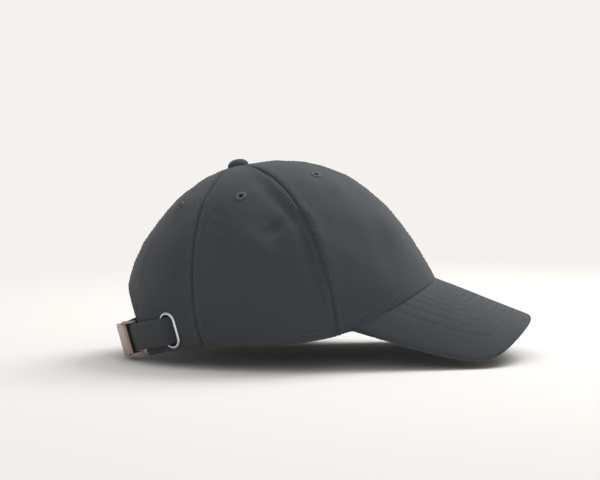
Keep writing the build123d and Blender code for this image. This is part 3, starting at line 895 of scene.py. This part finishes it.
@dataclass
class GrommetPlace:
    """Where the grommet sits: its centre, the way it faces and its slot."""

    form: CrownForm
    turn: float = 224.9
    lift: float = 14.0
    slot_tall: float = 20.5
    slot_wide: float = 9.0

    def axes(self) -> tuple[Vector, Vector, Vector, Vector]:
        """Returns the centre and the along, upward and outward directions."""
        centre = self.form.at_height(self.turn, self.lift, 0)
        along = self.form.at_height(self.turn + 1, self.lift, 0) - self.form.at_height(self.turn - 1, self.lift, 0)
        upward = self.form.at_height(self.turn, self.lift + 1, 0) - self.form.at_height(self.turn, self.lift - 1, 0)
        out = along.cross(upward).normalized()
        along.normalize()
        return centre, along, out.cross(along), out

    def inside(self, p: Vector, margin: float) -> bool:
        """Whether a point lies over the slot, grown by a margin."""
        centre, along, upward, out = self.axes()
        offset = p - centre
        if abs(offset.dot(out)) > 8:
            return False
        x, y = offset.dot(along), offset.dot(upward)
        straight = (self.slot_tall - self.slot_wide) / 2
        return math.hypot(x, max(0.0, abs(y) - straight)) < self.slot_wide / 2 + margin


@dataclass
class Visor:
    """The visor's two covers, stitched through in rows that follow its edge."""

    form: CrownForm
    cloth: bpy.types.Material
    thread: bpy.types.Material
    columns: int = 150
    rows: int = 110
    roll: float = 1.7
    first_row: float = 14.0
    row_pitch: float = 5.7
    row_count: int = 8
    tuck: float = 0.6

    def __post_init__(self) -> None:
        """Works out the visor's edge and the crown's seam in plan, and joins them in columns."""
        v = self.form.visor
        seam = []
        for k in range(201):
            azimuth = -90.0 + 180.0 * k / 200
            u, y, _ = v.to_plan(self.form.point(azimuth, self.form.end(azimuth)))
            if u > -v.back:
                seam.append((u - self.tuck, y))
        self.edge = np.array(v.outline(self.columns + 1))
        self.seam = np.array(even_points(seam, self.columns + 1))
        outline = np.array(v.outline(4 * self.columns))
        self.insets = np.zeros((self.columns + 1, self.rows + 1))
        for j in range(self.rows + 1):
            f = self.fraction(j)
            points = self.edge * (1 - f) + self.seam * f
            gaps = np.linalg.norm(points[:, None, :] - outline[None, :, :], axis=2)
            self.insets[:, j] = gaps.min(axis=1) if j else 0.0

    def fraction(self, j: int) -> float:
        """How far along its column a row lies, closer together at the rolled edge."""
        near = (0.0, 0.002, 0.006, 0.012, 0.019, 0.027, 0.036)
        if j < len(near):
            return near[j]
        return near[-1] + (1 - near[-1]) * (j - len(near) + 1) / (self.rows - len(near) + 1)

    def plan(self, k: int, f: float) -> tuple[float, float]:
        """The plan point at a fraction of a column."""
        u, y = self.edge[k] * (1 - f) + self.seam[k] * f
        return float(u), float(y)

    def relief(self, s: float, u: float, y: float) -> float:
        """Height of the cover over the plain arch: the rolled edge and the quilted rows."""
        out = 0.0
        if s < self.roll:
            out -= self.roll - math.sqrt(max(0.0, self.roll**2 - (self.roll - s) ** 2))
        for row in range(self.row_count):
            d = s - self.first_row - row * self.row_pitch
            out -= 0.3 * math.exp(-((d / 0.7) ** 2))
        out += 0.25 * noise.noise(Vector((u * 0.07, y * 0.07, 2.0)))
        return out

    def cover(self, name: str, lift: float, side: int, nodes: tuple[str, ...]) -> None:
        """Makes one cover; side is 1 above and -1 below."""
        v = self.form.visor

        def place(k: int, j: int) -> Vector:
            u, y = self.plan(k, self.fraction(j))
            return v.point(u, y, lift + side * self.relief(float(self.insets[k, j]), u, y))

        def cloth(k: int, j: int) -> tuple[float, float]:
            u, y = self.plan(k, self.fraction(j))
            return y, u

        piece = patch(name, (self.columns, self.rows), place, lambda p: Vector((0, 0, side)), cloth)
        thicken(piece, 0.6)
        finish_piece(piece, self.cloth, Finish.TWILL, nodes)

    def stitching(self, name: str, lift: float, side: int) -> None:
        """The rows through the visor, as seen on one face."""
        v, bm = self.form.visor, bmesh.new()
        stitch = Stitch(2.4, 0.5, 3.0)
        for row in range(self.row_count):
            s = self.first_row + row * self.row_pitch
            path, ups = [], []
            for k in range(self.columns + 1):
                if self.insets[k, -1] > s + 2.0:
                    f = float(np.interp(s, self.insets[k], [self.fraction(j) for j in range(self.rows + 1)]))
                    u, y = self.plan(k, f)
                    path.append(v.point(u, y, lift + side * (self.relief(s, u, y) + 0.08)))
                    ups.append(v.normal(y) * side)
            if len(path) > 4:
                stitch.add_row(bm, path, lambda k: ups[k])
        finish_piece(as_piece(name, bm), self.thread, Finish.THREAD)

    def build(self) -> None:
        """Builds the covers and their stitching."""
        self.cover("visor_top_cover", 0.0, 1, ("visor_top_cover", "visor_board"))
        self.cover("visor_under_cover", -3.4, -1, ("visor_under_cover",))
        self.stitching("visor_stitching_top", 0.0, 1)
        self.stitching("visor_stitching_under", -3.4, -1)


@dataclass
class Strap:
    """The cloth strap, from inside the left rear corner round to its tuck through the grommet."""

    form: CrownForm
    cloth: bpy.types.Material
    thread: bpy.types.Material
    lift: float = 14.0
    half_width: float = 9.25
    thickness: float = 1.2
    track: tuple[tuple[float, float], ...] = (
        (141.0, 3.3), (155.5, 3.3), (183.0, -2.9), (222.2, -2.9), (227.6, 3.3), (242.0, 3.3))

    def depth(self, turn: float) -> float:
        """The strap's middle, inside the crown's face."""
        for (a, da), (b, db) in zip(self.track, self.track[1:]):
            if turn <= b:
                f = max(0.0, (turn - a) / (b - a))
                return da + (db - da) * f * f * (3 - 2 * f)
        return self.track[-1][1]

    def point(self, turn: float, across: float, outward: float = 0.0) -> Vector:
        """A point on the strap, across from -1 to 1 and outward from its middle."""
        top = self.form.at_height(turn, self.lift + self.half_width, self.depth(turn) - outward)
        low = self.form.at_height(turn, self.lift - self.half_width, self.depth(turn) - outward)
        return low.lerp(top, (across + 1) / 2)

    def normal(self, turn: float) -> Vector:
        """Outward across the strap's face."""
        along = self.point(turn + 0.3, 0) - self.point(turn - 0.3, 0)
        return along.cross(self.point(turn, 1) - self.point(turn, -1)).normalized()

    def build(self) -> None:
        """Builds the strap and the stitching along its edges."""
        count, wide = 150, 14
        turns = [self.track[0][0] + (self.track[-1][0] - self.track[0][0]) * i / count for i in range(count + 1)]
        normals = [self.normal(a) for a in turns]

        def place(i: int, j: int) -> Vector:
            c = 2 * j / wide - 1
            swell = 0.22 * (1 - c * c) + 0.12 * noise.noise(Vector((turns[i] * 0.35, c * 1.5, 4.0)))
            groove = -0.15 * math.exp(-(((abs(c) - 0.78) / 0.06) ** 2))
            return self.point(turns[i], c) + normals[i] * (self.thickness / 2 + swell + groove)

        centre = Vector((-40, 0, 20))
        piece = patch("strap", (count, wide), place, lambda p: p - centre, lambda i, j: (turns[i] * 1.6, j * 1.32))
        thicken(piece, self.thickness)
        finish_piece(piece, self.cloth, Finish.TWILL, ("strap",))
        bm = bmesh.new()
        for c in (-0.78, 0.78):
            path = [self.point(a, c) + n * (self.thickness / 2 + 0.02) for a, n in zip(turns, normals)][18:]
            Stitch(2.2, 0.5, 2.9).add_row(bm, path, lambda k: normals[min(k + 18, count)])
        finish_piece(as_piece("strap_stitching", bm), self.thread, Finish.THREAD)


@dataclass
class Grommet:
    """The oval metal ring outside, rolled over its edge, and the washer inside."""

    place: GrommetPlace
    metal: bpy.types.Material
    band: float = 2.2
    crown: float = 1.0

    def build(self) -> None:
        """Builds the ring; the washer keeps its shape and takes the same metal."""
        centre, along, upward, out = self.place.axes()
        radius, straight = self.place.slot_wide / 2, (self.place.slot_tall - self.place.slot_wide) / 2
        section = [(-0.02, -2.0), (-0.05, -0.5), (0.1, 0.45), (0.45, 0.95), (0.95, 1.2), (1.5, 1.1), (2.0, 0.7),
                   (2.25, 0.3), (2.1, 0.2), (0.62, 0.2), (0.6, -2.0), (-0.02, -2.0)]
        around = 120
        arc, run = math.pi * (radius + 1), 2 * straight

        def path(i: int) -> tuple[Vector, Vector]:
            s = (i / around) * 2 * (arc + run)
            flip = 1
            if s >= arc + run:
                s, flip = s - arc - run, -1
            if s < run:
                foot, way = Vector((radius * 0, -straight + s)), Vector((1, 0))
            else:
                a = (s - run) / arc * math.pi
                foot, way = Vector((0, straight)), Vector((math.cos(a), math.sin(a)))
            return foot * flip, way * flip

        def place(i: int, j: int) -> Vector:
            foot, way = path(i)
            r, z = section[j]
            plan = foot + way * (radius + r)
            return centre + along * plan.x + upward * plan.y + out * z

        def outward(p: Vector) -> Vector:
            offset = p - centre
            x, y = offset.dot(along), offset.dot(upward)
            y -= max(-straight, min(straight, y))
            way = (along * x + upward * y).normalized()
            foot = centre + upward * (offset.dot(upward) - y) + way * (radius + 1.1) + out * 0.4
            return p - foot

        piece = patch("grommet_ring", (around, len(section) - 1), place, outward, weld=True)
        soft = piece.modifiers.new("smooth", "SUBSURF")
        soft.levels = soft.render_levels = 1
        finish_piece(piece, self.metal, Finish.GROMMET, ("grommet_ring",))


@dataclass
class Buckle:
    """The clamp buckle: its frame and lever with their cut edges eased; the pin keeps its CAD shape."""

    metal: bpy.types.Material
    bevel: float = 0.22

    def eased(self, node: str, body: str) -> None:
        """Replaces a CAD node with a copy whose sharp edges are rounded."""
        bm = bmesh.new()
        bm.from_mesh(bpy.data.objects[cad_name(node)].data)
        bmesh.ops.scale(bm, vec=(1 / MM,) * 3, verts=bm.verts)
        bmesh.ops.remove_doubles(bm, verts=bm.verts, dist=0.002)
        bmesh.ops.dissolve_limit(bm, angle_limit=math.radians(1), verts=bm.verts, edges=bm.edges)
        sharp = [e for e in bm.edges if len(e.link_faces) == 2 and e.calc_face_angle() > math.radians(35)]
        bmesh.ops.bevel(bm, geom=sharp, offset=self.bevel, segments=2, profile=0.5, affect="EDGES",
                        material=-1, clamp_overlap=True)
        bmesh.ops.triangulate(bm, faces=bm.faces)
        piece = as_piece(node + "_eased", bm, smooth=False)
        finish_piece(piece, self.metal, Finish.BUCKLE, (node,), body)

    def build(self) -> None:
        """Builds the frame and the lever."""
        self.eased("buckle_frame", "cap")
        self.eased("buckle_lever", "buckle_lever")


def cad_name(node: str) -> str:
    """The name of a CAD node's object."""
    return frame["nodes"][node].name


def dress(node: str, material: bpy.types.Material) -> None:
    """Gives a carried-over CAD node its material."""
    target = frame["nodes"][node]
    for holder in target.material_slots:
        holder.material = material
    if not target.material_slots:
        target.data.materials.append(material)


def studio() -> None:
    """A pale floor, soft light from above and behind, and the camera."""
    scene = bpy.context.scene
    scene.view_settings.view_transform = "Standard"
    world = bpy.data.worlds.new("studio")
    scene.world = world
    world.use_nodes = True
    tree = world.node_tree
    back = tree.nodes["Background"]
    back.inputs["Color"].default_value = (0.9, 0.9, 0.9, 1)
    back.inputs["Strength"].default_value = 0.45
    seen = tree.nodes.new("ShaderNodeBackground")
    seen.inputs["Color"].default_value = (0.91, 0.885, 0.855, 1)
    path = tree.nodes.new("ShaderNodeLightPath")
    rays = math_node(tree, "MAXIMUM", path.outputs["Is Camera Ray"], path.outputs["Is Transmission Ray"])
    mix = tree.nodes.new("ShaderNodeMixShader")
    tree.links.new(rays, mix.inputs[0])
    tree.links.new(back.outputs[0], mix.inputs[1])
    tree.links.new(seen.outputs[0], mix.inputs[2])
    tree.links.new(mix.outputs[0], tree.nodes["World Output"].inputs[0])

    bm = bmesh.new()
    bmesh.ops.create_grid(bm, x_segments=1, y_segments=1, size=6000)
    floor = as_piece("floor", bm, smooth=False)
    material, ftree, shader = new_material("pale floor")
    shader.inputs["Base Color"].default_value = (0.86, 0.835, 0.805, 1)
    shader.inputs["Roughness"].default_value = 0.9
    shader.inputs["Specular IOR Level"].default_value = 0.1
    glow = ftree.nodes.new("ShaderNodeEmission")
    glow.inputs["Color"].default_value = (0.91, 0.885, 0.855, 1)
    where = ftree.nodes.new("ShaderNodeTexCoord")
    length = ftree.nodes.new("ShaderNodeVectorMath")
    length.operation = "LENGTH"
    ftree.links.new(where.outputs["Object"], length.inputs[0])
    ramp = ftree.nodes.new("ShaderNodeMapRange")
    ramp.inputs["From Min"].default_value = 0.22
    ramp.inputs["From Max"].default_value = 0.9
    ramp.interpolation_type = "SMOOTHSTEP"
    ftree.links.new(length.outputs["Value"], ramp.inputs["Value"])
    fade = ftree.nodes.new("ShaderNodeMixShader")
    ftree.links.new(ramp.outputs[0], fade.inputs[0])
    ftree.links.new(shader.outputs[0], fade.inputs[1])
    ftree.links.new(glow.outputs[0], fade.inputs[2])
    clear = ftree.nodes.new("ShaderNodeBsdfTransparent")
    facing = ftree.nodes.new("ShaderNodeNewGeometry")
    below = ftree.nodes.new("ShaderNodeMixShader")
    ftree.links.new(facing.outputs["Backfacing"], below.inputs[0])
    ftree.links.new(fade.outputs[0], below.inputs[1])
    ftree.links.new(clear.outputs[0], below.inputs[2])
    ftree.links.new(below.outputs[0], ftree.nodes["Material Output"].inputs[0])
    floor.data.materials.append(material)
    floor.location.z = min(0.0, CAD_BOX[0][2]) - 0.0003

    for name, place, size, power in (
        ("key", (0.85, 0.75, 1.3), 0.9, 21.0),
        ("top", (0.1, 0.2, 1.6), 1.4, 9.5),
        ("fill", (-0.3, -1.6, 0.9), 1.6, 2.5),
    ):
        data = bpy.data.lights.new(name, "AREA")
        data.energy, data.size = power, size
        lamp = bpy.data.objects.new(name, data)
        scene.collection.objects.link(lamp)
        lamp.location = place
        lamp.rotation_mode = "QUATERNION"
        lamp.rotation_quaternion = (Vector((0, 0, 0.06)) - Vector(place)).to_track_quat("-Z", "Y")

    target, distance, rise = Vector((-0.017, 0, 0.0792)), 1.2, math.radians(4)
    camera = bpy.data.objects.new("camera", bpy.data.cameras.new("camera"))
    scene.collection.objects.link(camera)
    back_way = Vector((0, -math.cos(rise), math.sin(rise)))
    camera.location = target + back_way * distance
    camera.rotation_mode = "QUATERNION"
    camera.rotation_quaternion = (-back_way).to_track_quat("-Z", "Y")
    camera.data.sensor_width = 36
    camera.data.lens = 104.3
    camera.data.clip_end = 50
    scene.camera = camera


def main() -> None:
    """Builds every sub-assembly in order."""
    logging.basicConfig(level=logging.INFO)
    twill, fading = twill_group(), wear_group()
    # The first colour of each cloth is painted shade for the weave's hollows; the second is the colour of its
    # crests.
    cloth = Cloth("cotton twill", (0.032, 0.037, 0.042), (0.066, 0.074, 0.084)).build(twill, fading)
    band = Cloth("sweatband twill", (0.036, 0.04, 0.045), (0.06, 0.067, 0.075), pitch=0.9).build(twill, fading)
    tape = Cloth("woven tape", (0.03, 0.034, 0.039), (0.055, 0.061, 0.069), pitch=0.6).build(twill, fading)
    buckram = Cloth("buckram", (0.03, 0.03, 0.033), (0.08, 0.08, 0.085), pitch=1.4, bump=0.6).build(twill, fading)
    thread = Plain("sewing thread", (0.075, 0.083, 0.093), (0.115, 0.125, 0.138), 0.62).build(fading)
    steel = Plain("button steel", (0.5, 0.5, 0.5), (0.6, 0.6, 0.6), 0.35, 1.0).build(fading)
    nickel = Plain("polished nickel", (0.7, 0.7, 0.71), (0.82, 0.82, 0.83), 0.16, 1.0, grain=0.1).build(fading)
    copper = Plain("antique copper", (0.28, 0.215, 0.185), (0.52, 0.4, 0.345), 0.34, 1.0, 300.0, 0.2).build(fading)

    form = CrownForm()
    Crown(form, cloth, thread, tape, buckram).build()
    Visor(form, cloth, thread).build()
    Strap(form, cloth, thread).build()
    Grommet(GrommetPlace(form), nickel).build()
    Buckle(copper).build()
    for node, material in {
        "sweatband": band, "opening_binding": tape, "button_shell": steel,
        "button_back": steel, "grommet_washer": nickel, "buckle_pin": copper, "buckle_tab": cloth,
    }.items():
        dress(node, material)
    studio()


if __name__ == "__main__":
    main()
